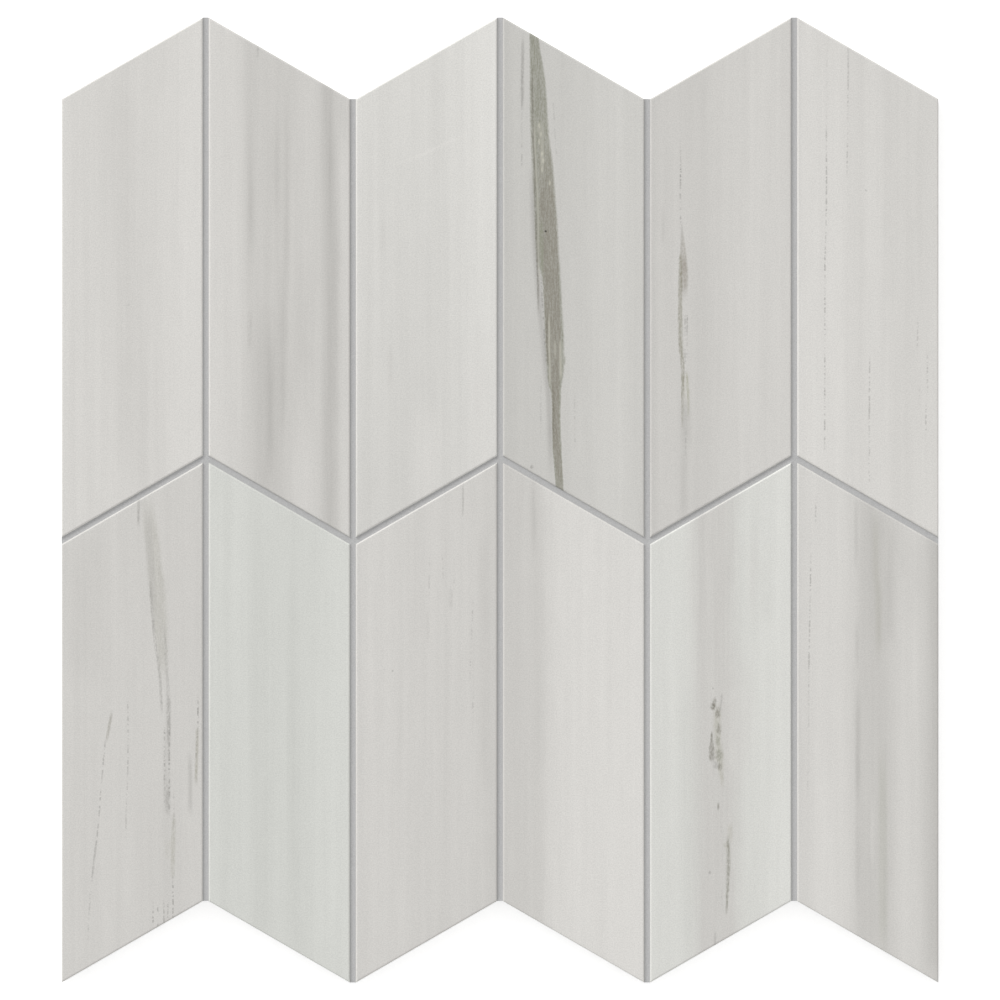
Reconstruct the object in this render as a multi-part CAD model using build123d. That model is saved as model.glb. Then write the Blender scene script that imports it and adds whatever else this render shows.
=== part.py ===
from build123d import *

import os
from math import cos, radians, sin, tan

# Chevron mosaic sheet: stone-look porcelain parallelograms glued to a glass-fibre mesh, with the joints
# between them grouted. Millimetres. +Z points out of the tile faces and +Y runs along the tiles' long
# edges. The origin is under the middle of the sheet, on the underside of the mesh.

# Layout
COLUMNS = 6
ROW_NAMES = ("lower", "upper")  # from -Y to +Y

# Tile
TILE_WIDTH = 48.0  # across, between the two long edges
TILE_SIDE = 149.0  # along a long edge
END_SLOPE = 30.0  # degrees that the slanted ends lean from straight across
TILE_THICKNESS = 9.0
ARRIS_RADIUS = 0.6  # eased edge round the face

# Keyed back of a tile: shallow pressed grooves that give the adhesive a grip
KEY_WIDTH = 4.0  # a groove at its mouth
KEY_LAND = 4.0  # the rib left between two grooves
KEY_DEPTH = 0.5
KEY_DRAFT = 30.0  # degrees that a groove's walls lean open

# Joints
JOINT_WIDTH = 2.0
GROUT_RECESS = 0.65  # from the tile faces down to the edges of the grout, at the foot of the eased edges
GROUT_HOLLOW = 0.1  # from those edges down to the middle of the tooled surface

# Mesh
MESH_THICKNESS = 0.6
MESH_MARGIN = 3.0  # the mesh stops this far inside the sheet's outline

# Worked out from the sizes above
ROWS = len(ROW_NAMES)
SLOPE = radians(END_SLOPE)
COLUMN_PITCH = TILE_WIDTH + JOINT_WIDTH
SLANTED_GAP = JOINT_WIDTH / cos(SLOPE)  # a slanted joint, measured along Y
ROW_PITCH = TILE_SIDE + SLANTED_GAP
END_RISE = TILE_WIDTH * tan(SLOPE)
SHEET_WIDTH = COLUMNS * COLUMN_PITCH - JOINT_WIDTH
SHEET_HEIGHT = ROWS * ROW_PITCH - SLANTED_GAP + END_RISE
FACE_Z = MESH_THICKNESS + TILE_THICKNESS
GROUT_Z = FACE_Z - GROUT_RECESS


def column_left(column):
    return column * COLUMN_PITCH - SHEET_WIDTH / 2


def lean(column):
    """1 where a column's slanted ends climb to the right, -1 where they fall: in turn, they make chevrons."""
    return 1 if column % 2 == 0 else -1


def tile_corners(column, row):
    """The tile's outline from its lower left corner, anticlockwise."""
    left = column_left(column)
    right = left + TILE_WIDTH
    low = row * ROW_PITCH - SHEET_HEIGHT / 2
    high = low + END_RISE
    left_y, right_y = (low, high) if lean(column) > 0 else (high, low)
    return [(left, left_y), (right, right_y), (right, right_y + TILE_SIDE), (left, left_y + TILE_SIDE)]


def sheet_corners():
    """The whole sheet's outline: zigzag ends, with a short flat where each upright joint reaches them."""
    bottom, top = [], []
    for column in range(COLUMNS):
        bottom += tile_corners(column, 0)[:2]
        top += reversed(tile_corners(column, ROWS - 1)[2:])
    return bottom + top[::-1]


def polygon(corners):
    return make_face(Polyline(*corners, close=True))


def key_grooves(column):
    """Parallel trapezoidal grooves down the back of one column of tiles, evenly set about its middle."""
    pitch = KEY_WIDTH + KEY_LAND
    count = int((TILE_WIDTH - KEY_LAND) // pitch)
    middle = column_left(column) + TILE_WIDTH / 2
    mouth_half = KEY_WIDTH / 2
    crown_half = mouth_half - KEY_DEPTH * tan(radians(KEY_DRAFT))
    profile = polygon([(-mouth_half, 0), (mouth_half, 0), (crown_half, KEY_DEPTH), (-crown_half, KEY_DEPTH)])
    groove = extrude(Plane.XZ * profile, SHEET_HEIGHT, both=True)
    offsets = [(index - (count - 1) / 2) * pitch for index in range(count)]
    return [Pos(middle + offset_x, 0, MESH_THICKNESS) * groove for offset_x in offsets]


def tile(column, row):
    """One pressed tile: square walls, an eased edge round the face and a keyed back."""
    body = extrude(Pos(0, 0, MESH_THICKNESS) * polygon(tile_corners(column, row)), TILE_THICKNESS)
    face_edges = body.faces().sort_by(Axis.Z)[-1].edges()
    return fillet(face_edges, ARRIS_RADIUS) - key_grooves(column)


def tooling():
    """Round bars laid along every joint, which leave the grout's surface hollow when they are cut away."""
    half_width = JOINT_WIDTH / 2
    radius = (half_width**2 + GROUT_HOLLOW**2) / (2 * GROUT_HOLLOW)
    axis_z = GROUT_Z - GROUT_HOLLOW + radius
    upright_section = Plane.XZ * Circle(radius)
    slanted_section = Plane.YZ * Ellipse(radius / cos(SLOPE), radius)
    bars = []
    for column in range(COLUMNS):
        start_x = column_left(column) - half_width
        if column > 0:
            bars.append(Pos(start_x, 0, axis_z) * extrude(upright_section, SHEET_HEIGHT, both=True))
        direction = (cos(SLOPE), lean(column) * sin(SLOPE), 0)
        for row in range(ROWS - 1):
            upper_left = tile_corners(column, row)[3]
            start_y = upper_left[1] + SLANTED_GAP / 2 - lean(column) * half_width * tan(SLOPE)
            bar = extrude(slanted_section, COLUMN_PITCH / cos(SLOPE), dir=direction)
            bars.append(Pos(start_x, start_y, axis_z) * bar)
    return bars


def joint_grout():
    """All the joints as one casting, between the tiles' walls and on the mesh."""
    tiles = [polygon(tile_corners(column, row)) for column in range(COLUMNS) for row in range(ROWS)]
    joints = polygon(sheet_corners()) - tiles
    fill_height = GROUT_Z + GROUT_HOLLOW - MESH_THICKNESS
    return extrude(Pos(0, 0, MESH_THICKNESS) * joints, fill_height) - tooling()


def backing_mesh():
    """The mesh as a plain sheet of its own outline and thickness."""
    outline = offset(polygon(sheet_corners()), -MESH_MARGIN, kind=Kind.INTERSECTION)
    return extrude(outline, MESH_THICKNESS)


def build():
    pieces = {"joint_grout": joint_grout(), "backing_mesh": backing_mesh()}
    for row, row_name in enumerate(ROW_NAMES):
        for column in range(COLUMNS):
            pieces[f"tile_{row_name}_{column + 1}"] = tile(column, row)
    return pieces


os.makedirs("parts", exist_ok=True)
for name, piece in build().items():
    export_step(piece, f"parts/{name}.step")
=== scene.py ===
import math

import bpy
import numpy as np
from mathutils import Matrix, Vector


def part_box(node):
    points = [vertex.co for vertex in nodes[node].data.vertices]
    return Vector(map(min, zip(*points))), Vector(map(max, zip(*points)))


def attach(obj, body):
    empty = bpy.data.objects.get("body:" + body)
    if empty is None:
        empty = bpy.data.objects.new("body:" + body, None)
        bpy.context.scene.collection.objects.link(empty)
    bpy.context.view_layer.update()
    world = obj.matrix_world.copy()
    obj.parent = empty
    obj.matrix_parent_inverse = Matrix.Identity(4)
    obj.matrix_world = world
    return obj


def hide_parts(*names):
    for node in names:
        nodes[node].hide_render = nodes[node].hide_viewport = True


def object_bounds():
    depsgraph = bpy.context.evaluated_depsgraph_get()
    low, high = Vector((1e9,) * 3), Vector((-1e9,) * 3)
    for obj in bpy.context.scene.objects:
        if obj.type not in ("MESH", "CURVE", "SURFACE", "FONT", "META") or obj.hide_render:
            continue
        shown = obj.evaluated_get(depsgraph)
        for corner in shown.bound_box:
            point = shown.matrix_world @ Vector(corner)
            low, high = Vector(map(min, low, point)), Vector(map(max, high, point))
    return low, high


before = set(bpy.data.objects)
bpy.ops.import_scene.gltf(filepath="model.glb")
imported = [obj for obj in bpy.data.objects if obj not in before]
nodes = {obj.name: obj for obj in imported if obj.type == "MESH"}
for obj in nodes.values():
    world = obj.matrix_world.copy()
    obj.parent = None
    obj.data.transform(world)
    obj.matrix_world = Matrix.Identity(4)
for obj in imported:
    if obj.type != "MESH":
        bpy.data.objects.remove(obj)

# Looks of the chevron mosaic sheet: a printed stone face on each tile, sanded grout in the joints and a
# woven glass-fibre mesh under them. Lengths are in millimetres and colours in 0 to 255 sRGB. A size of
# noise is that of its features, on a tile across and up it. A rise is the part of a noise's range over which
# what it draws comes in. Levels are steps of brightness, of 255.

cad_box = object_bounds()
MM = 0.001

# Tile body and glaze
GLAZE_DEPTH = 0.62  # the print covers the face and its eased edge, down to this far below the face
GLAZE_END = 0.1  # over which it gives way to the body
EDGE_PALENESS_AND_HIGHLIGHT = 7.0  # levels by which the eased edge is paler all round: partly its thin print, partly painted highlight
EDGE_START = 0.08  # below the face, where that is reached
BODY_COLOUR = (193, 190, 184)  # unglazed porcelain of the walls and the back
BODY_SPECK_RISE = (0.58, 0.75)
BODY_SPECK_SHARE = 0.35
TILE_ROUGHNESS = 0.8
TILE_RELIEF = 0.012

# Print
LEVEL = 0.0107  # share of a pale tone's brightness in one level
FALL_HEIGHT = 176.0  # about a tile's reach from its lowest corner to its highest
SEED_STEP = 100.0  # between the noise of two tiles
LAYER_STEP = 7.3  # between two noises of one tile
STRAY_SIZE = (4.0, 10.0)  # bends of bands and veins, and a mottling of the face
STRAY_LEVELS = 4.0
STRIPE_SIZE = (0.7, 26.0)  # stripes along a band
STRIPE_LEAST = 0.6  # a band's strength at its weakest
STRIPE_RANGE = 0.8  # from there to its strongest
GRAIN_SIZE = (0.5, 1.1)  # grains of a vein or a blotch
GRAIN_DETAIL = 3.0
GRAIN_RISE = (0.38, 0.62)
DASH_SIZE = (0.45, 5.0)  # short strokes along a vein
DASH_RISE = (0.36, 0.64)
RAGGED_SHARE = 0.4  # of the distance from a vein's middle, by which the grain moves its sides
RAGGED_LEAST = 0.3  # and this much more
DOT_SIZE = (1.5, 0.8)  # dots of a hair line
DOT_RISE = (0.42, 0.6)
RUN_SIZE = (2.0, 9.0)  # its stronger and weaker runs
RUN_RISE = (0.3, 0.6)
RUN_LEAST = 0.3  # its strength at its weakest
RUN_RANGE = 0.7  # from there to its strongest
THREAD_SOFTNESS = 0.7
SPOT_RISE = (0.35, 1.25)  # shares of a blotch's half size, from where it starts to fade to its end
SPOT_GRAIN_RISE = (0.4, 0.65)
DRIFT_SIZE = (16.0, 60.0)  # of the ground, to and fro across the tile
DRIFT = 3.0
STREAK_SIZE = (3.5, 130.0)  # all over the face
STREAK_LEVELS = 10.0
FINE_STREAK_SIZE = (1.2, 60.0)
FINE_STREAK_LEVELS = 4.5
SPECK_SIZE = 0.42
SPECK_LEVELS = 35.0

# Grout
GROUT_COLOUR = (183, 183, 183)
GROUT_SANDS = ((175, 175, 175), (191, 191, 191))  # its dark and its pale grains
SAND_SIZE = 0.3
SAND_RISE = (0.35, 0.7)
PATCH_SIZE = 9.0  # smoother places, where the grains show less
PATCH_RISE = (0.3, 0.7)
PATCH_SHARE = 0.4
GROUT_ROUGHNESS = 0.85
GROUT_RELIEF = 0.08

# Mesh
FIBRE_COLOURS = ((214, 214, 206), (226, 226, 220))
FIBRE_SIZE = 0.12
FIBRE_RISE = (0.3, 0.7)
MESH_ROUGHNESS = 0.45
MESH_RELIEF = 0.03
STRAND_PITCH = 5.0
STRAND_WIDTH = 0.9

# Stage
VIEW_WIDTH = 339.8  # what the photograph takes in, at the level of the tile faces
CAMERA_HEIGHT = 3000.0  # above the tile faces
CAMERA_REACH = 100000.0  # how far it sees
SENSOR_WIDTH = 36.0
LIGHT = 0.977  # on a level face, which returns its colour as written once its sheen is added
KEY_SHARE = 0.31  # of that light
KEY_ELEVATION = 27.0
KEY_AZIMUTH = 128.0  # from +X towards +Y, so the upper left of the photograph
KEY_SPREAD = 25.0
FLOOR_HALF = 20000.0  # from its middle to its sides
FLOOR_COLOUR = (230, 230, 230)
FLOOR_ROUGHNESS = 0.9
FLOOR_GLOW = 0.56  # where the camera sees it, so that it is white there

# The colour sockets of a mix node
MIX_UNDER = 6
MIX_OVER = 7
MIX_RESULT = 2


def linear(colour):
    """A colour written as 0 to 255 sRGB, as the linear values that shaders take."""
    shares = [part / 255 for part in colour]
    return tuple(s / 12.92 if s <= 0.04045 else ((s + 0.055) / 1.055) ** 2.4 for s in shares) + (1.0,)


def grey(level, tint=0):
    """The stone's own warm grey at one brightness, or with a tint of 1 its faintly green one."""
    return (level + 2 - 3 * tint, level, level - 4 - tint)


# Colours of the stone
THREAD_GREY = grey(150)
BODY_SPECK = grey(150)
OLIVE = (149, 149, 137)
MOSS = (144, 144, 131)
DARK_OLIVE = (141, 138, 129)
BLACK_OLIVE = (96, 92, 76)
PALE_OLIVE = (182, 180, 168)


# Shading as arithmetic


class Field:
    """A number that varies over a surface. Arithmetic on fields makes a material's maths nodes."""

    def __init__(self, graph, socket):
        self.graph = graph
        self.socket = socket

    def __add__(self, other):
        return self.graph.maths("ADD", self, other)

    def __radd__(self, other):
        return self.graph.maths("ADD", other, self)

    def __sub__(self, other):
        return self.graph.maths("SUBTRACT", self, other)

    def __rsub__(self, other):
        return self.graph.maths("SUBTRACT", other, self)

    def __mul__(self, other):
        return self.graph.maths("MULTIPLY", self, other)

    def __rmul__(self, other):
        return self.graph.maths("MULTIPLY", other, self)

    def __truediv__(self, other):
        return self.graph.maths("DIVIDE", self, other)

    def __abs__(self):
        return self.graph.maths("ABSOLUTE", self)

    def root(self):
        return self.graph.maths("SQRT", self)

    def rise(self, low, high):
        """0 up to low and 1 from high, with a smooth change between them."""
        node = self.graph.node("ShaderNodeMapRange", interpolation_type="SMOOTHSTEP")
        self.graph.feed(node.inputs["Value"], self)
        self.graph.feed(node.inputs["From Min"], low)
        self.graph.feed(node.inputs["From Max"], high)
        return Field(self.graph, node.outputs["Result"])


class Graph:
    """The nodes of one material."""

    def __init__(self, name):
        self.material = bpy.data.materials.new(name)
        self.material.use_nodes = True
        self.tree = self.material.node_tree
        self.tree.nodes.clear()

    def node(self, kind, **settings):
        node = self.tree.nodes.new(kind)
        for setting, value in settings.items():
            setattr(node, setting, value)
        return node

    def feed(self, socket, value):
        if isinstance(value, Field):
            value = value.socket
        if isinstance(value, bpy.types.NodeSocket):
            self.tree.links.new(value, socket)
        else:
            socket.default_value = value

    def maths(self, operation, *values):
        node = self.node("ShaderNodeMath", operation=operation)
        for socket, value in zip(node.inputs, values):
            self.feed(socket, value)
        return Field(self, node.outputs[0])

    def position(self):
        """The place on the part, as three fields in millimetres."""
        place = self.node("ShaderNodeTexCoord").outputs["Object"]
        split = self.node("ShaderNodeSeparateXYZ")
        self.feed(split.inputs[0], place)
        return [Field(self, output) / MM for output in split.outputs]

    def noise(self, x, y, z, detail=2.0):
        """Soft noise from 0 to 1 whose features are about one unit apart."""
        join = self.node("ShaderNodeCombineXYZ")
        for socket, value in zip(join.inputs, (x, y, z)):
            self.feed(socket, value)
        node = self.node("ShaderNodeTexNoise")
        self.feed(node.inputs["Vector"], join.outputs[0])
        self.feed(node.inputs["Scale"], 1.0)
        self.feed(node.inputs["Detail"], detail)
        return Field(self, node.outputs["Fac"])

    def even_noise(self, size):
        """Noise with features of one size in every direction, over the whole part."""
        return self.noise(*[place / size for place in self.position()])

    def curve(self, place, points):
        """A smooth line of values through (place, value) points, level beyond its ends."""
        places, values = zip(*sorted(points))
        lowest, spread = min(values), max(values) - min(values)
        if spread == 0:
            return lowest
        node = self.node("ShaderNodeFloatCurve")
        line = node.mapping.curves[0]
        while len(line.points) < len(places):
            line.points.new(0.5, 0.5)
        node.mapping.extend = "HORIZONTAL"
        for point, at, value in zip(line.points, places, values):
            point.location = ((at - places[0]) / (places[-1] - places[0]), (value - lowest) / spread)
        node.mapping.update()
        self.feed(node.inputs["Value"], (place - places[0]) / (places[-1] - places[0]))
        return Field(self, node.outputs[0]) * spread + lowest

    def mix(self, amount, under, over, blend="MIX"):
        node = self.node("ShaderNodeMix", data_type="RGBA", blend_type=blend)
        self.feed(node.inputs["Factor"], amount)
        self.feed(node.inputs[MIX_UNDER], under)
        self.feed(node.inputs[MIX_OVER], over)
        return node.outputs[MIX_RESULT]

    def surface(self, colour, roughness, relief, relief_height):
        """Ends the material: relief is a field from 0 to 1, and relief_height its size in millimetres."""
        bump = self.node("ShaderNodeBump")
        self.feed(bump.inputs["Height"], relief)
        self.feed(bump.inputs["Distance"], relief_height * MM)
        shader = self.node("ShaderNodeBsdfPrincipled")
        self.feed(shader.inputs["Base Color"], colour)
        self.feed(shader.inputs["Roughness"], roughness)
        self.feed(shader.inputs["Normal"], bump.outputs[0])
        output = self.node("ShaderNodeOutputMaterial")
        self.feed(output.inputs["Surface"], shader.outputs[0])
        return self.material


# Stone print


class Stone(Graph):
    """One tile's stone. Places are millimetres on the tile: across from its left edge, up from its lowest
    corner. Features are laid over each other in the order of the calls."""

    def __init__(self, node, seed):
        super().__init__(f"stone_{node}")
        low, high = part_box(node)
        x, y, self.height = self.position()
        self.across = x - low.x / MM
        self.up = y - low.y / MM
        self.width = (high.x - low.x) / MM
        self.face = high.z / MM
        self.seed = seed
        self.layers = 0
        self.colour = None
        self.stray = self.texture(STRAY_SIZE) - 0.5
        self.stripes = self.texture(STRIPE_SIZE)
        self.grain = self.texture(GRAIN_SIZE, GRAIN_DETAIL)
        dashes = self.texture(DASH_SIZE)
        self.flecks = 0.5 * self.grain.rise(*GRAIN_RISE) + 0.5 * dashes.rise(*DASH_RISE)
        self.dots = self.texture(DOT_SIZE, 1.0).rise(*DOT_RISE)
        self.runs = self.texture(RUN_SIZE, 1.0).rise(*RUN_RISE)

    def texture(self, size, detail=2.0):
        """Noise of its own, with features of about the given (across, up) size."""
        self.layers += 1
        across_size, up_size = size
        layer_seed = self.seed + LAYER_STEP * self.layers
        return self.noise(self.across / across_size, self.up / up_size, layer_seed, detail)

    def brighten(self, levels):
        self.colour = self.mix(1.0, self.colour, (1.0 + LEVEL * levels).socket, "MULTIPLY")

    def lay(self, amount, colour):
        self.colour = self.mix(amount, self.colour, linear(colour))

    def offset(self, line):
        """How far a place lies to the right of a line through (across, up) points."""
        return self.across - self.curve(self.up, [(up, across) for across, up in line])

    def inside(self, offset, width, soft):
        """1 near a line, falling to 0 about half a width away from it, over a share of that half."""
        half_width = width / 2 if isinstance(width, (int, float)) else self.curve(self.up, width) / 2
        return 1 - (abs(offset) / half_width).rise(1 - soft, 1 + soft)

    def ends(self, line, fade):
        """1 between the ends of a line, falling to 0 over a length at each."""
        heights = [up for across, up in line]
        lowest, highest = min(heights), max(heights)
        return self.up.rise(lowest, lowest + fade) * (1 - self.up.rise(highest - fade, highest))

    def ground(self, *stops, tint=0, fall=0):
        """The plain stone: brightness levels at places across the tile. fall is how many levels it loses on
        the way down."""
        ramp = self.node("ShaderNodeValToRGB")
        ramp.color_ramp.interpolation = "CARDINAL"
        elements = ramp.color_ramp.elements
        while len(elements) < len(stops):
            elements.new(0.5)
        for element, (at, level) in zip(elements, stops):
            element.position = at / self.width
            element.color = linear(grey(level, tint))
        drift = DRIFT * (self.texture(DRIFT_SIZE) - 0.5)
        self.feed(ramp.inputs[0], (self.across + drift) / self.width)
        self.colour = ramp.outputs[0]
        if fall:
            self.brighten(-fall * (1.0 - self.up / FALL_HEIGHT))

    def band(self, line, width, colour, amount=0.8, soft=1.0, wander=0.6, fade=12.0):
        """A soft streak along (across, up) points, finely striped along its length. width is one number, or
        (up, width) points. wander is how far it strays."""
        offset = self.offset(line) + 2 * wander * self.stray
        stripes = STRIPE_LEAST + STRIPE_RANGE * self.stripes
        self.lay(self.inside(offset, width, soft) * self.ends(line, fade) * stripes * amount, colour)

    def vein(self, line, width, colour, amount=1.0, soft=0.6, wander=0.2, grainy=0.6, fade=5.0):
        """A mineral vein along (across, up) points. grainy is how much its own grain thins it."""
        distance = abs(self.offset(line) + 2 * wander * self.stray)
        ragged = distance + grainy * (self.grain - 0.5) * (RAGGED_SHARE * distance + RAGGED_LEAST)
        solid = 1 - grainy * self.flecks
        self.lay(self.inside(ragged, width, soft) * self.ends(line, fade) * solid * amount, colour)

    def thread(self, line, amount=0.5, width=0.5, fade=4.0):
        """A hair line of dark dots along (across, up) points, in stronger and weaker runs."""
        mask = self.inside(self.offset(line), width, THREAD_SOFTNESS) * self.ends(line, fade)
        runs = RUN_LEAST + RUN_RANGE * self.runs
        self.lay(mask * self.dots * runs * amount, THREAD_GREY)

    def spot(self, at, size, colour, amount=1.0, grainy=0.5):
        """A ragged blotch of about the given (across, up) size."""
        across = (self.across - at[0]) / (size[0] / 2)
        up = (self.up - at[1]) / (size[1] / 2)
        distance = (across * across + up * up).root() + 2 * grainy * (self.grain - 0.5)
        solid = 1 - grainy * self.grain.rise(*SPOT_GRAIN_RISE)
        self.lay((1 - distance.rise(*SPOT_RISE)) * solid * amount, colour)

    def finish(self):
        """Streaks along the stone, fine specks, an eased edge made paler (partly thin print, partly painted
        highlight), then the bare body below the print.
        """
        streaks = STREAK_LEVELS * (self.texture(STREAK_SIZE) - 0.5)
        fine_streaks = FINE_STREAK_LEVELS * (self.texture(FINE_STREAK_SIZE) - 0.5)
        speck_depth = self.height / SPECK_SIZE + self.seed
        specks = self.noise(self.across / SPECK_SIZE, self.up / SPECK_SIZE, speck_depth)
        speckle = SPECK_LEVELS * (specks - 0.5)
        depth = self.face - self.height
        # the eased edge painted paler: partly its thin print, partly painted highlight
        edge = EDGE_PALENESS_AND_HIGHLIGHT * depth.rise(0.0, EDGE_START)
        self.brighten(streaks + fine_streaks + STRAY_LEVELS * self.stray + speckle + edge)
        body_specks = specks.rise(*BODY_SPECK_RISE) * BODY_SPECK_SHARE
        body = self.mix(body_specks, linear(BODY_COLOUR), linear(BODY_SPECK))
        colour = self.mix(depth.rise(GLAZE_DEPTH, GLAZE_DEPTH + GLAZE_END), self.colour, body)
        return self.surface(colour, TILE_ROUGHNESS, specks, TILE_RELIEF)


def between(edges):
    """The middle line and the widths of a vein given by its (up, left, right) sides."""
    line = [((left + right) / 2, up) for up, left, right in edges]
    widths = [(up, right - left) for up, left, right in edges]
    return line, widths


def upper_1(stone):
    """Plain, with a soft grey band down the middle."""
    stone.ground((0, 213), (12, 211), (34, 210), (43, 215), (48, 214))
    stone.band([(20, 172), (21, 90), (27, 8)], 12, grey(203), 0.6, wander=1.5, fade=30)
    stone.band([(17, 160), (17, 100)], 4, grey(202), 0.3, fade=25)
    stone.spot((22.8, 79), (1.0, 1.2), grey(190), 0.7)


def upper_2(stone):
    """Soft grey bands all the way down."""
    stone.ground(
        (0, 212), (9, 209), (13, 202), (28, 200), (31, 204),
        (36, 204), (40, 201), (44, 204), (48, 209),
    )
    stone.band([(31.5, 104), (31.5, 36)], 6, grey(197), 0.7, fade=30)
    right_band = [(40.7, 168), (40.8, 140), (41.4, 110), (41.7, 87), (41.4, 47), (41.4, -4)]
    stone.band(right_band, 4.4, grey(182), 0.7, wander=0.3, fade=10)
    stone.band([(45.0, 172), (45.0, 124)], 6, grey(198), 0.75, wander=0.3, fade=20)
    stone.band([(32, 46), (32, -8)], 8, grey(212), 0.55, fade=24)
    stone.band([(41.0, 158), (41.2, 108)], 1.8, grey(176), 0.4, wander=0.2, fade=22)
    stone.band([(14.0, 156), (14.2, 119), (14.1, 80)], 2.0, grey(184), 0.3, wander=0.2, fade=28)
    stone.band([(14.2, 132), (14.3, 92)], 1.6, grey(178), 0.32, wander=0.2, fade=20)
    stone.band([(23.0, 150), (23.0, 104)], 2.6, grey(188), 0.45, wander=0.3, fade=20)
    stone.band([(26.5, 164), (26.5, 102), (26.0, 74)], 1.8, grey(184), 0.42, wander=0.2, fade=28)
    stone.band([(19.5, 88), (20.2, 47), (19.4, -6)], 8.5, grey(188), 0.74, wander=0.8, fade=28)
    stone.band([(21.0, 72), (21.0, 14)], 2.2, grey(174), 0.48, wander=0.2, fade=22)
    stone.band([(25.6, 96), (25.4, 66), (25.2, 28)], 2.2, grey(180), 0.45, wander=0.2, fade=24)
    stone.vein([(14.1, 79), (14.1, 62)], 1.5, grey(186), 0.8, soft=0.9, grainy=0.8)
    stone.vein([(16.7, 170), (16.7, 162)], 0.7, grey(168), 0.6, fade=2)


def upper_3(stone):
    """Nearly plain, with a faint pale line that climbs to the right."""
    stone.ground((0, 217), (12, 216), (30, 216), (38, 220), (43, 223), (48, 224), tint=0.2, fall=9)
    stone.band([(24, 52), (24, 0)], 9, grey(217), 0.5, fade=22)
    stone.band([(43, 76), (43, 8)], 7, grey(210), 0.5, fade=24)
    pale_line = [(8, 125.5), (20, 129), (30, 133.7), (38, 137.4), (44, 140.3)]
    stone.band(pale_line, 2.4, grey(223), 0.35, wander=0.8, fade=5)
    stone.band([(9.3, 112), (9.3, 94)], 1.2, grey(200), 0.35, wander=0.2, fade=7)
    stone.band([(11.8, 68), (11.6, 48)], 1.6, grey(200), 0.5, wander=0.2, fade=8)


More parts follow.
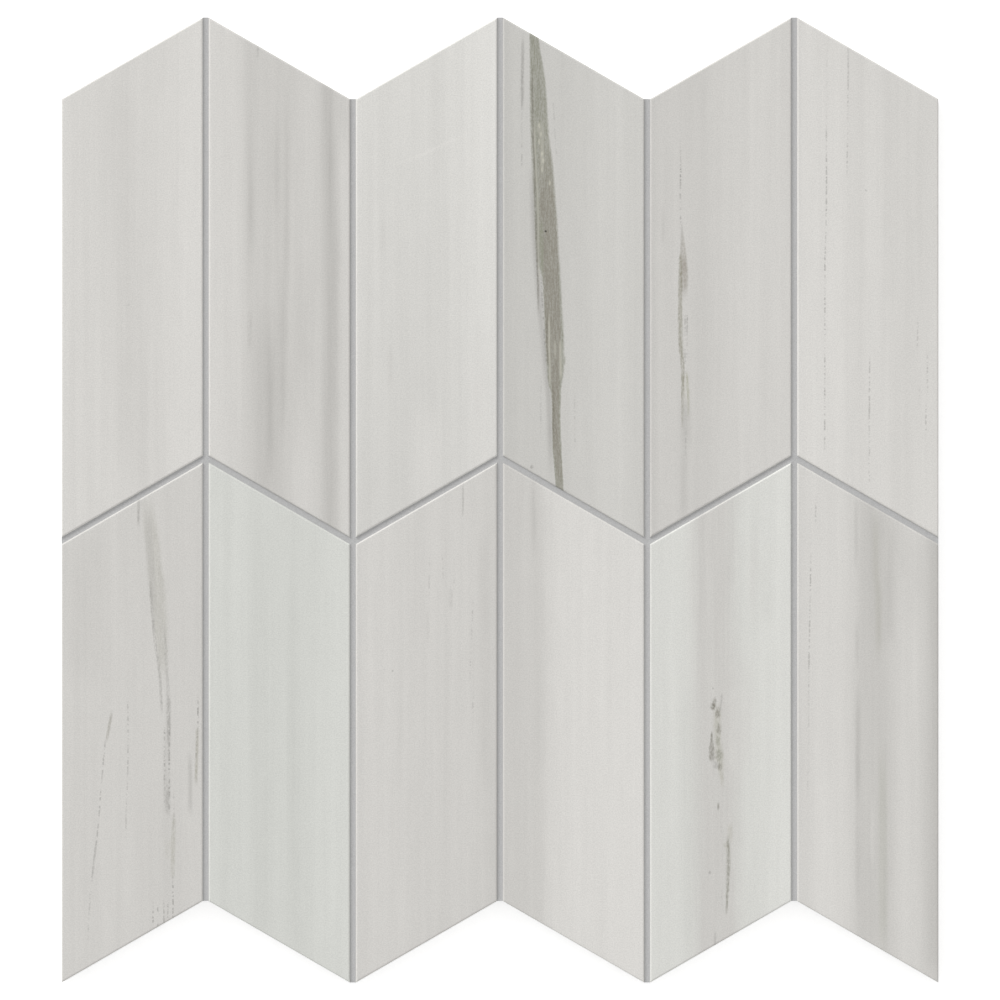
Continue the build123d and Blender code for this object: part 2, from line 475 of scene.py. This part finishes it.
def upper_4(stone):
    """The wide olive vein: darker on its right, with pale flecks and dotted lines along it."""
    stone.ground(
        (0, 194), (6, 198), (22, 199), (26, 201), (34, 204),
        (40, 206), (44, 203), (48, 202), tint=0.2,
    )
    line, widths = between([
        (178, 9.1, 11.4), (168, 9.1, 12.3), (160, 9.2, 13.6), (152, 9.2, 14.6), (144, 9.3, 15.1),
        (136, 9.5, 15.6), (128, 9.9, 16.7), (120, 10.2, 17.4), (112, 10.6, 18.0), (104, 10.9, 18.5),
        (96, 11.3, 18.9), (88, 13.3, 19.5), (80, 13.9, 19.9), (72, 14.2, 20.4), (64, 14.6, 20.7),
        (58, 14.9, 20.7), (52, 15.5, 19.9), (48, 16.5, 19.7), (40, 16.7, 19.5), (32, 16.8, 19.8),
        (24, 17.4, 20.2), (14, 18.2, 20.6),
    ])
    dark_line, dark_widths = between([
        (144, 12.2, 15.4), (128, 12.2, 16.6), (112, 12.5, 17.8), (104, 12.4, 18.4), (96, 12.7, 18.8),
        (88, 13.7, 18.9), (80, 14.1, 19.2), (72, 14.4, 19.6), (64, 14.8, 19.6), (56, 16.0, 19.2),
        (48, 16.7, 19.1), (40, 16.8, 19.0), (32, 17.0, 19.3), (24, 17.8, 20.0), (14, 18.4, 20.6),
        (0, 18.4, 20.6),
    ])
    halo = [
        (9.9, 132), (10.3, 112), (11.2, 96), (12.6, 80), (14.0, 64),
        (15.0, 54), (15.8, 46), (16.2, 32), (16.8, 16),
    ]
    stone.band(halo, 1.8, grey(172), 0.75, wander=0.1, fade=20)
    stone.vein(line, widths, MOSS, soft=0.16, wander=0.1, grainy=0.4, fade=1)
    stone.vein(dark_line, dark_widths, (138, 132, 122), 0.72, soft=0.2, wander=0.1, grainy=0.5, fade=34)
    stone.vein([(12.9, 110), (13.1, 98), (13.2, 88)], 1.2, (145, 149, 131), 0.7, grainy=0.8)
    stone.vein([(13.1, 143), (13.4, 131), (13.1, 121)], 1.1, PALE_OLIVE, 0.8, grainy=0.9, fade=6)
    stone.spot((12.0, 139), (1.6, 4.0), PALE_OLIVE, 0.5)
    stone.spot((13.4, 129), (1.6, 6.0), PALE_OLIVE, 0.5)
    flecks = [(12.4, 140), (12.8, 137), (12.3, 134.5), (13.3, 130.5), (13.7, 128), (13.3, 125), (15.9, 120.5)]
    for fleck in flecks:
        stone.spot(fleck, (0.9, 2.2), (198, 196, 182), 0.65, grainy=0.4)
    stone.vein([(17.7, 68), (17.8, 60)], 0.6, PALE_OLIVE, 0.8, fade=3)
    left_line = [
        (9.9, 162), (10.0, 148), (10.3, 136), (10.6, 126),
        (10.9, 114), (11.2, 104), (11.5, 96), (12.2, 74),
    ]
    stone.vein(left_line, 0.6, (124, 121, 112), 0.8, grainy=0.7, fade=9)
    stone.vein([(10.8, 144), (11.1, 128), (11.9, 112), (12.0, 98), (12.7, 84)], 0.5, PALE_OLIVE, 0.75, fade=8)
    stone.vein([(15.7, 77), (15.8, 64), (15.9, 50)], 0.6, PALE_OLIVE, grainy=0.4, fade=5)
    stone.vein([(19.5, 68), (19.6, 53)], 0.8, PALE_OLIVE, grainy=0.5, fade=3)
    stone.vein([(14.8, 78), (14.9, 70), (15.0, 64), (15.4, 56)], 0.6, BLACK_OLIVE, 0.5, grainy=0.9)
    stone.vein([(16.9, 52), (17.2, 45), (17.2, 38), (17.7, 32)], 0.6, BLACK_OLIVE, 0.5, grainy=0.9)
    stone.spot((14.5, 104), (0.9, 0.8), (40, 38, 26), grainy=0.1)
    stone.vein([(6.8, 172), (6.6, 157), (6.5, 144)], 0.9, grey(152), 0.85, soft=0.8, fade=8)
    stone.thread([(6.5, 152), (6.4, 124)], 0.5)
    stone.thread([(16.8, 151), (17.7, 138), (18.6, 124)], 0.25)
    stone.thread([(12.9, 90), (13.4, 80), (14.1, 68), (14.6, 58)], 0.8)
    stone.spot((21.0, 60), (0.8, 3.2), OLIVE, 0.6)
    stone.thread([(13.0, 56), (12.8, 34)], 0.3)
    stone.thread([(24.3, 53), (24.5, 29)], 0.28)
    stone.spot((9.8, 24), (1.2, 1.6), grey(158), 0.8)


def upper_5(stone):
    """A thin dark vein with a brownish patch near its top."""
    stone.ground((0, 198), (8, 202), (16, 200), (22, 203), (26, 205), (37, 208), (48, 206))
    stone.thread([(10.3, 136), (10.4, 125), (10.3, 115), (10.7, 104)], 1.0)
    stone.vein([(10.7, 108), (10.9, 102), (10.6, 95)], 0.7, grey(166), 0.55, fade=3)
    line, widths = between([
        (106, 10.6, 11.1), (101, 10.4, 11.7), (95, 10.3, 12.4),
        (90, 10.2, 12.8), (85, 10.2, 12.7), (79, 10.2, 11.2),
    ])
    stone.vein(line, widths, (171, 167, 160), soft=0.35, wander=0.1, grainy=0.6, fade=8)
    stone.vein([(11.2, 98), (11.4, 91), (11.1, 83)], 1.8, (150, 142, 132), 0.45, grainy=0.6)
    dark = [(10.5, 98), (10.3, 87), (10.3, 70), (10.4, 65), (10.9, 60), (11.1, 54), (11.1, 44), (11.2, 36)]
    dark_widths = [(98, 0.6), (87, 1.2), (70, 1.4), (58, 1.1), (36, 0.8)]
    stone.vein([(12.0, 58), (12.2, 38)], 2.2, (188, 186, 174), 0.5, soft=0.7, grainy=0.8)
    stone.vein(dark, dark_widths, (136, 133, 116), 0.78, grainy=0.7, fade=4)
    stone.thread([(11.9, 77), (11.9, 54)], 0.6)
    stone.thread([(12.7, 78), (12.4, 60)], 0.7)
    stone.vein([(12.3, 57), (12.8, 51), (13.1, 46), (12.9, 40)], 0.7, (168, 167, 150), 0.85, fade=3)
    stone.band([(12.0, 50), (12.1, 28)], 3, grey(184), wander=0.2, fade=8)
    stone.thread([(12.1, 38), (12.1, 20)], 0.5)
    stone.band([(11.9, 36), (11.6, 22), (11.6, 2)], 2.2, grey(189), wander=0.3, fade=10)
    stone.band([(4.4, 114), (4.4, 96)], 1.0, grey(190), 0.7, wander=0.2, fade=8)


def upper_6(stone):
    """Dotted hair lines."""
    stone.ground(
        (0, 212), (10, 213), (18, 210), (22, 208), (26, 211),
        (30, 208), (40, 207), (48, 209), fall=-4,
    )
    stone.thread([(10.8, 172), (10.0, 158), (9.9, 136)], 0.15)
    stone.thread([(9.9, 140), (9.9, 115), (9.4, 91), (9.4, 64), (9.3, 28)], 0.6)
    stone.thread([(17.4, 168), (17.2, 149), (16.9, 122)], 0.45)
    stone.vein([(17.4, 169), (17.3, 154)], 0.6, grey(164), 0.35, fade=4)
    stone.thread([(24.7, 62), (24.5, 47), (24.5, 27)], 0.6)
    stone.thread([(24.5, 32), (24.5, 16)], 0.33)
    stone.thread([(41.0, 76), (40.8, 62)], 0.42)
    stone.thread([(41.5, 54), (41.5, 44)], 0.45)
    stone.thread([(44.2, 64), (44.3, 57), (44.2, 48)], 0.6)
    stone.thread([(43.7, 47), (43.7, 33)], 0.5)
    stone.spot((23.4, 118), (0.8, 1.0), grey(176), 0.8)


def lower_1(stone):
    """A wide pale vein that breaks up on its way down, and thin slanted lines."""
    stone.ground((0, 207), (8, 205), (16, 206), (26, 205), (34, 204), (40, 204), (48, 205))
    stone.band([(7.5, 160), (7.2, 130), (8, 96)], 12, grey(197), 0.45, fade=20)
    stone.band([(31.5, 84), (32.5, 6)], 12, grey(200), 0.6, wander=1, fade=28)
    line, widths = between([
        (168, 27.6, 30.0), (154, 28.1, 32.6), (144, 29.2, 33.8), (134, 30.0, 35.0),
        (122, 31.2, 35.7), (110, 32.7, 35.9), (98, 33.6, 36.3),
    ])
    stone.vein(line, widths, (180, 178, 170), 0.72, soft=0.4, grainy=0.6, fade=16)
    left_side = [(29.4, 164), (29.8, 150), (30.5, 140), (32.2, 122)]
    stone.band(left_side, 2.0, grey(176), 0.45, wander=0.2, fade=10)
    stone.vein([(30.1, 138), (31.1, 122), (33.4, 104), (34.2, 90)], 0.9, grey(156), 0.65, grainy=0.9)
    stone.vein([(34.6, 123), (35.7, 108), (36.4, 91), (36.2, 78)], 0.9, grey(156), 0.5, grainy=0.9)
    stone.vein([(36.2, 100), (36.4, 90), (36.3, 80)], 1.4, grey(158), 0.6, soft=0.6, grainy=0.9)
    stone.vein([(35.9, 88), (35.9, 62)], 2.0, grey(178), 0.4, soft=0.7, grainy=0.9)
    stone.thread([(35.0, 92), (35.0, 58)], 0.7)
    stone.thread([(36.6, 90), (36.6, 56)], 0.9)
    stone.vein([(36.0, 70), (36.2, 56)], 1.5, grey(160), 0.75, soft=0.7, grainy=0.9, fade=4)
    stone.thread([(38.2, 66), (38.2, 52)], 0.7)
    stone.vein([(38.2, 58), (38.0, 50), (37.8, 34)], 1.2, (168, 166, 154), 0.65, soft=0.8, grainy=0.8, fade=4)
    stone.vein([(36.8, 51), (36.8, 40)], 3.2, (190, 188, 180), 0.6, soft=0.9, grainy=0.9)
    stone.thread([(37.9, 38), (37.9, 20)], 0.9)
    stone.vein([(26.1, 167), (26.1, 154)], 0.9, grey(164), 0.8, soft=0.8, grainy=0.7, fade=4)
    stone.vein([(17.3, 93), (16.2, 87), (15.2, 81)], 0.9, (160, 157, 148), 0.7, fade=3)
    stone.thread([(15.0, 84), (13.5, 67), (12.3, 52), (10.7, 39), (9.4, 24), (8.8, 12)], 0.6)
    stone.vein([(12.0, 49), (11.3, 43), (10.1, 33)], 0.6, grey(164), 0.65, fade=5)
    stone.thread([(22.5, 97), (22.6, 78), (22.0, 58), (21.9, 48)], 0.5)
    stone.thread([(46.4, 99), (46.3, 88), (45.8, 74), (46.1, 67)], 0.85)
    stone.vein([(46.1, 88), (45.7, 66)], 1.0, (168, 165, 152), 0.65, fade=4)
    stone.band([(43.3, 80), (43.7, 62), (43.4, 55)], 1.2, grey(182), 0.7, wander=0.2, fade=7)
    for across, top in ((31.1, 28), (32.7, 27), (34.8, 28), (36.1, 29)):
        stone.thread([(across, top), (across, top - 9)], 0.7, fade=2)


def lower_2(stone):
    """Plain and faintly green, with two soft bands."""
    stone.ground(
        (0, 212), (6, 210), (10, 213), (15, 210), (32, 209),
        (36, 211), (42, 213), (48, 215), tint=1, fall=1,
    )
    stone.band([(17, 170), (17.5, 6)], 6, grey(204, 1), 0.6, fade=20)
    stone.band([(28.6, 150), (28.8, 6)], 3, grey(203, 1), 0.5, fade=20)


def lower_3(stone):
    """Short hair lines in the upper right."""
    stone.ground((0, 208), (12, 209), (20, 207), (30, 206), (38, 207), (42, 204), (48, 201), fall=3)
    stone.vein([(36.4, 171), (36.3, 157)], 0.6, grey(158), 0.5, fade=4)
    stone.thread([(25.1, 146), (24.8, 130)], 0.32)
    stone.thread([(29.3, 146), (29.8, 136)], 0.5)
    stone.thread([(33.4, 144), (33.4, 132)], 0.2)
    stone.vein([(32.3, 135), (32.3, 126)], 1.2, grey(184), 0.6, soft=0.9, grainy=0.8, fade=3)
    stone.band([(24.4, 129), (24.4, 113)], 0.8, grey(190), 0.3, wander=0.1, fade=5)
    stone.thread([(39.8, 131), (39.4, 120), (39.0, 110), (38.8, 102)], 0.6)
    stone.thread([(40.0, 100), (39.5, 84)], 0.4)
    stone.band([(43.6, 160), (43.6, 60)], 3.0, grey(195), 0.7, fade=20)
    stone.band([(41, 126), (41, 90)], 4, grey(200), 0.45, fade=14)
    stone.spot((12.5, 106), (0.8, 0.8), grey(160), 0.8)


def lower_4(stone):
    """Plain, and greyer along the left."""
    stone.ground(
        (0, 198), (6, 201), (11, 203), (14, 208), (17, 212),
        (22, 215), (36, 215), (44, 215), (48, 216),
    )
    stone.band([(11.6, 174), (12.0, 90), (11.0, 6)], 4.0, grey(196), 0.45, fade=10)
    stone.band([(10.3, 178), (10.5, 140)], 1.6, grey(184), 0.55, wander=0.3, fade=16)
    stone.band([(6.5, 180), (6.5, 150)], 1.2, grey(188), 0.25, wander=0.2, fade=14)


def lower_5(stone):
    """A soft grey band with dark olive blotches and a thin vein below them."""
    stone.ground((0, 214), (12, 216), (34, 213), (40, 216), (48, 219), tint=0.7)
    stone.band([(14, 112), (14, -4)], 7, grey(207, 0.7), 0.75, fade=28)
    wide_band = [(21, 174), (21.4, 120), (22.5, 80), (23, 4)]
    stone.band(wide_band, 14, grey(200), 1.0, soft=0.6, wander=1.5, fade=4)
    stone.band([(31, 120), (30, 60)], 8, grey(207), 0.6, wander=1, fade=25)
    stone.band([(35.5, 158), (35.0, 120)], 3, grey(206), 0.4, fade=14)
    stone.band([(39, 148), (39, 118)], 4, grey(208, 0.7), 0.5, fade=12)
    # the dark blotches, from the top, on a thin olive stain
    stain = [(23.0, 96), (22.8, 89), (23.0, 83), (23.5, 77), (24.2, 71), (24.8, 65)]
    stain_widths = [(96, 2.0), (89, 2.4), (83, 2.2), (77, 2.6), (71, 1.4), (65, 1.0)]
    stone.vein(stain, stain_widths, (173, 171, 156), 0.55, soft=0.7, grainy=0.6)
    stone.vein([(24.6, 99), (23.6, 91)], 0.6, grey(150), 0.5, fade=2)
    stone.spot((21.9, 95.5), (1.4, 3.0), DARK_OLIVE, 0.8)
    stone.spot((21.3, 93.8), (2.0, 2.6), BLACK_OLIVE, 0.7)
    stone.spot((23.0, 91.6), (1.8, 4.0), DARK_OLIVE, 0.8)
    stone.spot((23.4, 86.3), (1.9, 4.0), DARK_OLIVE, 0.75)
    stone.spot((23.0, 82.2), (1.6, 3.6), OLIVE, 0.6)
    left_blotch = [(21.1, 86), (20.9, 80), (21.2, 74.5)]
    left_widths = [(86, 0.4), (82, 1.0), (78.5, 1.7), (74.5, 1.2)]
    stone.vein(left_blotch, left_widths, BLACK_OLIVE, 0.66, soft=0.5, grainy=0.7, fade=2)
    stone.spot((23.5, 77.3), (2.6, 4.6), OLIVE, 0.75)
    stone.spot((23.7, 73.4), (1.6, 2.6), BLACK_OLIVE, 0.6)
    stone.spot((22.4, 73.9), (2.4, 2.8), grey(172), 0.7)
    stone.spot((21.4, 100), (0.6, 0.8), grey(170))
    stone.vein([(23.3, 61.6), (23.1, 58.2)], 0.7, BLACK_OLIVE, 0.52, grainy=0.3, fade=1.4)
    stone.thread([(23.9, 60), (24.2, 49)], 0.25)
    # the thinner vein below them
    stone.vein([(27.3, 55), (27.0, 47)], 1.4, PALE_OLIVE, 0.55, soft=0.9, fade=3)
    stone.vein([(25.0, 49), (26.4, 44)], 1.4, PALE_OLIVE, 0.75, soft=0.9, fade=3)
    low_vein = [(26.5, 51), (26.6, 42), (26.4, 35), (25.8, 22)]
    low_widths = [(51, 0.6), (42, 1.4), (35, 1.2), (22, 0.5)]
    core_widths = [(51, 0.5), (42, 0.8), (35, 0.7), (22, 0.5)]
    stone.vein(low_vein, low_widths, OLIVE, 0.6, soft=0.7, grainy=0.8, fade=4)
    stone.vein(low_vein, core_widths, BLACK_OLIVE, 0.42, grainy=0.8, fade=4)
    stone.thread([(24.3, 34), (24.3, 25)], 0.25)
    stone.spot((20.3, 37.3), (1.0, 1.4), grey(162), 0.9)
    stone.vein([(22.1, 18), (22.0, 10)], 0.7, grey(170), 0.7, fade=2)


def lower_6(stone):
    """Soft grey bands, and a hair line at the left."""
    stone.ground(
        (0, 206), (6, 212), (15, 210), (20, 203), (25, 200),
        (32, 201), (36, 208), (42, 205), (48, 195),
    )
    stone.band([(26.5, 170), (26.8, 140), (27.5, 108)], 8, grey(188), 0.62, wander=0.5, fade=16)
    stone.band([(25.5, 130), (25.5, 4)], 8, grey(194), 0.66, wander=0.4, fade=20)
    stone.band([(23.8, 64), (23.8, -4)], 5, grey(190), 0.35, wander=0.3, fade=20)
    middle_line = [(26.5, 164), (26.8, 140), (27.6, 128), (27.5, 106)]
    stone.band(middle_line, 2, (180, 178, 170), 0.5, wander=0.2, fade=14)
    stone.band([(32.5, 162), (32.2, 145), (31.7, 131), (31.4, 112)], 2.8, grey(184), 0.5, wander=0.2, fade=16)
    stone.band([(20.0, 170), (20.0, 136)], 1.3, grey(186), 0.6, wander=0.2, fade=14)
    stone.band([(20.3, 126), (20.4, 104)], 1.0, grey(190), wander=0.2, fade=10)
    stone.band([(20.7, 106), (20.6, 86), (20.6, 54)], 1.4, grey(174), 0.5, wander=0.2, fade=18)
    stone.band([(20.6, 66), (20.4, 20)], 1.4, grey(190), 0.55, wander=0.2, fade=18)
    stone.band([(29.0, 86), (29.1, 45), (29.2, 4)], 2.8, (187, 186, 179), 0.7, soft=0.6, wander=0.2, fade=20)
    stone.band([(25.6, 66), (25.6, 34)], 1.2, grey(206), 0.6, wander=0.2, fade=12)
    stone.band([(38.5, 168), (38.5, 112)], 8, grey(199), 0.6, fade=26)
    stone.band([(35, 168), (35, 128)], 5, grey(199), 0.5, fade=16)
    stone.thread([(6.4, 166), (6.2, 155)], 0.45)
    stone.thread([(4.7, 152), (4.4, 130), (4.0, 111), (3.9, 98)], 0.6)
    stone.thread([(3.9, 106), (3.8, 82), (3.3, 62)], 0.2)
    stone.band([(47.0, 160), (47.4, 130), (47.0, 60), (47.2, 0)], 4.6, grey(184), 0.68, wander=0.4, fade=10)


PRINTS = {
    "tile_upper_1": upper_1,
    "tile_upper_2": upper_2,
    "tile_upper_3": upper_3,
    "tile_upper_4": upper_4,
    "tile_upper_5": upper_5,
    "tile_upper_6": upper_6,
    "tile_lower_1": lower_1,
    "tile_lower_2": lower_2,
    "tile_lower_3": lower_3,
    "tile_lower_4": lower_4,
    "tile_lower_5": lower_5,
    "tile_lower_6": lower_6,
}


def dress_tiles():
    for index, (node, paint) in enumerate(PRINTS.items()):
        stone = Stone(node, SEED_STEP * index)
        paint(stone)
        nodes[node].data.materials[0] = stone.finish()


# Grout


def grout_material():
    graph = Graph("sanded_grout")
    sand = graph.even_noise(SAND_SIZE)
    patches = graph.even_noise(PATCH_SIZE)
    dark, pale = GROUT_SANDS
    colour = graph.mix(sand.rise(*SAND_RISE), linear(dark), linear(pale))
    colour = graph.mix(patches.rise(*PATCH_RISE) * PATCH_SHARE, colour, linear(GROUT_COLOUR))
    return graph.surface(colour, GROUT_ROUGHNESS, sand, GROUT_RELIEF)


# Backing mesh


def mesh_material():
    graph = Graph("glass_fibre")
    fibres = graph.even_noise(FIBRE_SIZE)
    dark, pale = FIBRE_COLOURS
    colour = graph.mix(fibres.rise(*FIBRE_RISE), linear(dark), linear(pale))
    return graph.surface(colour, MESH_ROUGHNESS, fibres, MESH_RELIEF)


def mesh_outline():
    """The corners of the CAD sheet's lower and upper zigzag ends, as (x, y) in metres from left to right."""
    points = {(round(v.co.x, 6), round(v.co.y, 6)) for v in nodes["backing_mesh"].data.vertices}
    lower = sorted(p for p in points if p[1] < 0)
    upper = sorted(p for p in points if p[1] > 0)
    return np.array(lower), np.array(upper)


def strand(path, across, half_width, half_thickness):
    """Corners and faces of a flat yarn along a path, with a diamond section."""
    side = Vector(across) * half_width
    rise = Vector((0, 0, half_thickness))
    section = (-side, -rise, side, rise)
    count = len(section)
    last = count * (len(path) - 1)
    corners = [point + corner for point in path for corner in section]
    faces = []
    for start in range(0, last, count):
        for k in range(count):
            after = (k + 1) % count
            faces.append((start + k, start + after, start + count + after, start + count + k))
    faces += [tuple(reversed(range(count))), tuple(range(last, last + count))]
    return corners, faces


def runs_inside(steps, is_inside):
    """The unbroken runs of steps that lie inside the outline."""
    run = []
    for step in steps:
        if is_inside(step):
            run.append(step)
        elif run:
            yield run
            run = []
    if run:
        yield run


def yarns(low, high, half_width, lift):
    """The middle line of each yarn and the direction across it, in metres. Every other step along one is a
    crossing, over and under in turn."""
    lower, upper = mesh_outline()
    middle_z = (low.z + high.z) / 2
    pitch = STRAND_PITCH * MM
    columns = int((high.x - low.x - 2 * half_width) / pitch)
    rows = int((high.y - low.y - 2 * half_width) / pitch)
    column_steps = [step / 2 - columns / 2 for step in range(2 * columns + 1)]
    row_steps = [step / 2 - rows / 2 for step in range(2 * rows + 1)]

    def inside(column, row):
        x, y = column * pitch, row * pitch
        return np.interp(x, *lower.T) + half_width <= y <= np.interp(x, *upper.T) - half_width

    def place(column, row, sign):
        weave = sign * lift * math.cos(math.pi * (column + row))
        return Vector((column * pitch, row * pitch, middle_z + weave))

    for column in column_steps[::2]:
        for run in runs_inside(row_steps, lambda row: inside(column, row)):
            yield [place(column, row, 1) for row in run], (-1, 0, 0)
    for row in row_steps[::2]:
        for run in runs_inside(column_steps, lambda column: inside(column, row)):
            yield [place(column, row, -1) for column in run], (0, 1, 0)


def weave_mesh():
    """Woven yarns in place of the plain CAD sheet, inside its outline and its thickness."""
    low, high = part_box("backing_mesh")
    half_width = STRAND_WIDTH * MM / 2
    lift = (high.z - low.z) / 4
    corners, faces = [], []
    for path, across in yarns(low, high, half_width, lift):
        if len(path) > 1:
            new_corners, new_faces = strand(path, across, half_width, lift)
            faces.extend(tuple(len(corners) + k for k in face) for face in new_faces)
            corners.extend(new_corners)

    mesh = bpy.data.meshes.new("woven_mesh")
    mesh.from_pydata(corners, [], faces)
    mesh.materials.append(mesh_material())
    mesh.polygons.foreach_set("use_smooth", [True] * len(mesh.polygons))
    piece = bpy.data.objects.new("woven_mesh", mesh)
    bpy.context.scene.collection.objects.link(piece)
    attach(piece, "root")
    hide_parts("backing_mesh")


# Stage


def glow_for_camera(tree, strength):
    """A number that is strength for what the camera, a mirror or glass sees, and 0 for light on the part."""
    path = tree.nodes.new("ShaderNodeLightPath")
    seen = path.outputs["Is Camera Ray"]
    for ray in ("Is Glossy Ray", "Is Transmission Ray"):
        either = tree.nodes.new("ShaderNodeMath")
        either.operation = "MAXIMUM"
        tree.links.new(seen, either.inputs[0])
        tree.links.new(path.outputs[ray], either.inputs[1])
        seen = either.outputs[0]
    scale = tree.nodes.new("ShaderNodeMath")
    scale.operation = "MULTIPLY"
    scale.inputs[1].default_value = strength
    tree.links.new(seen, scale.inputs[0])
    return scale.outputs[0]


def lay_floor():
    half = FLOOR_HALF * MM
    corners = [(-half, -half, 0), (half, -half, 0), (half, half, 0), (-half, half, 0)]
    mesh = bpy.data.meshes.new("floor")
    mesh.from_pydata(corners, [], [(0, 1, 2, 3)])
    floor = bpy.data.objects.new("floor", mesh)
    floor.location.z = cad_box[0].z
    bpy.context.scene.collection.objects.link(floor)
    graph = Graph("white_floor")
    shader = graph.node("ShaderNodeBsdfPrincipled")
    graph.feed(shader.inputs["Base Color"], linear(FLOOR_COLOUR))
    graph.feed(shader.inputs["Roughness"], FLOOR_ROUGHNESS)
    graph.feed(shader.inputs["Emission Color"], (1, 1, 1, 1))
    graph.feed(shader.inputs["Emission Strength"], glow_for_camera(graph.tree, FLOOR_GLOW))
    output = graph.node("ShaderNodeOutputMaterial")
    graph.feed(output.inputs["Surface"], shader.outputs[0])
    mesh.materials.append(graph.material)


def light_scene():
    scene = bpy.context.scene
    world = bpy.data.worlds.new("studio")
    scene.world = world
    world.use_nodes = True
    background = world.node_tree.nodes["Background"]
    ambient = LIGHT * (1.0 - KEY_SHARE)
    seen = glow_for_camera(world.node_tree, 1.0 - ambient)
    total = world.node_tree.nodes.new("ShaderNodeMath")
    total.operation = "ADD"
    total.inputs[1].default_value = ambient
    world.node_tree.links.new(seen, total.inputs[0])
    background.inputs["Color"].default_value = (1, 1, 1, 1)
    world.node_tree.links.new(total.outputs[0], background.inputs["Strength"])

    lamp = bpy.data.lights.new("key", "SUN")
    lamp.energy = LIGHT * KEY_SHARE * math.pi / math.sin(math.radians(KEY_ELEVATION))
    lamp.angle = math.radians(KEY_SPREAD)
    key = bpy.data.objects.new("key", lamp)
    key.rotation_euler = (0, math.radians(90 - KEY_ELEVATION), math.radians(KEY_AZIMUTH))
    scene.collection.objects.link(key)


def set_camera():
    data = bpy.data.cameras.new("camera")
    data.sensor_width = SENSOR_WIDTH
    data.lens = SENSOR_WIDTH * CAMERA_HEIGHT / VIEW_WIDTH
    data.clip_end = CAMERA_REACH * MM
    camera = bpy.data.objects.new("camera", data)
    camera.location = (0, 0, cad_box[1].z + CAMERA_HEIGHT * MM)
    bpy.context.scene.collection.objects.link(camera)
    bpy.context.scene.camera = camera


dress_tiles()
nodes["joint_grout"].data.materials[0] = grout_material()
weave_mesh()
lay_floor()
light_scene()
set_camera()
bpy.context.scene.view_settings.view_transform = "Standard"
